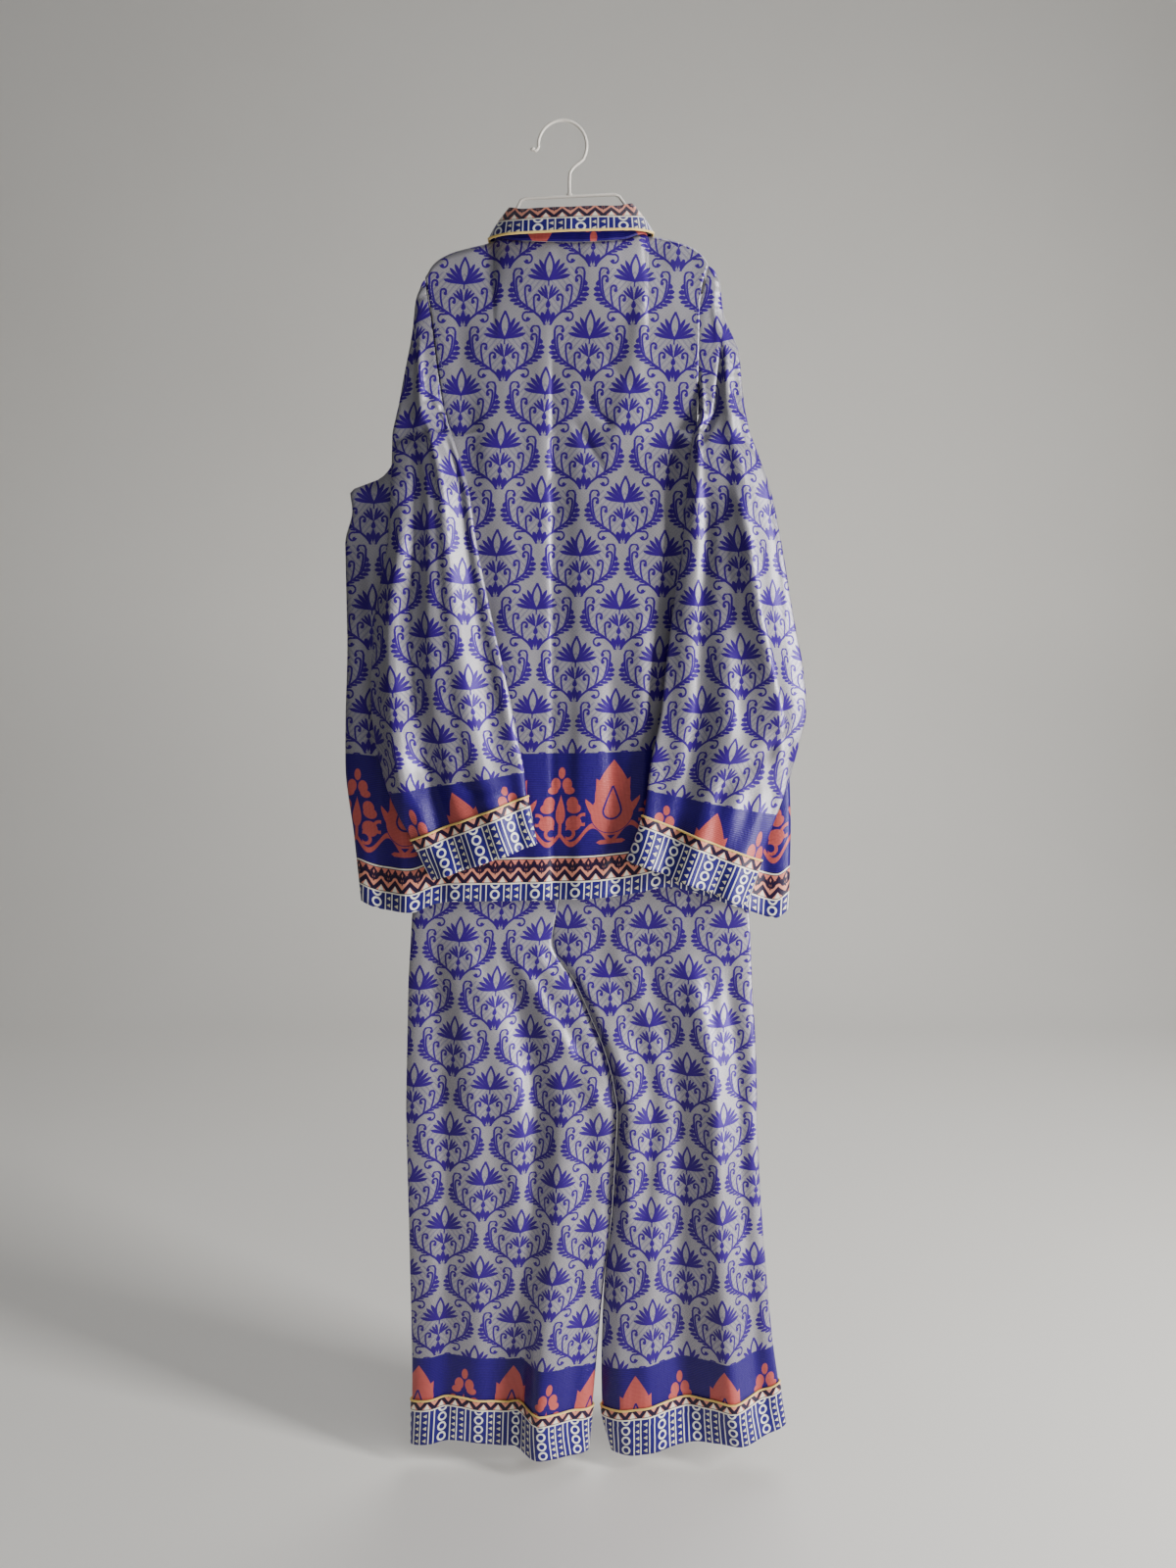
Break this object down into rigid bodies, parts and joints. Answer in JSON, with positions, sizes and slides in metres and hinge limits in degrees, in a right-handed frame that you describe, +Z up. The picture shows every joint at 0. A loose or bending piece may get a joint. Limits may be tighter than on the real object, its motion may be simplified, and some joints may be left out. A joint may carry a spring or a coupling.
{
  "type": "trouser set on a wire hanger",
  "caption": "Long-sleeved collared shirt and wide straight trousers in patterned silk, hung together on a thin wire hanger.",
  "frame": {"origin": "underside of the hook's crown, where the set hangs", "axes": "+Z up, +X to the wearer's right, +Y the way the garment's front faces, so the shirt's back faces -Y"},
  "size_m": [0.5396, 0.0889, 1.5844],
  "materials": {
    "brocade": "satin printed brocade",
    "border": "woven border bands",
    "button": "polished",
    "tape": "plain tape",
    "wire": "plastic-coated wire"
  },
  "bodies": {
    "root": {"shirt_back": "brocade", "shirt_front_left": "brocade", "shirt_front_right": "brocade", "sleeve_left": "brocade", "sleeve_right": "brocade", "cuff_left": "border", "cuff_right": "border", "collar_stand": "border", "collar_fall": "border", "button_1": "button", "button_2": "button", "button_3": "button", "button_4": "button", "button_5": "button", "button_6": "button", "leg_left": "brocade", "leg_right": "brocade", "turnup_left": "border", "turnup_right": "border", "waistband": "brocade", "tape_left": "tape", "tape_right": "tape", "hanger_hook": "wire", "hanger_frame": "wire"}
  },
  "joints": []
}
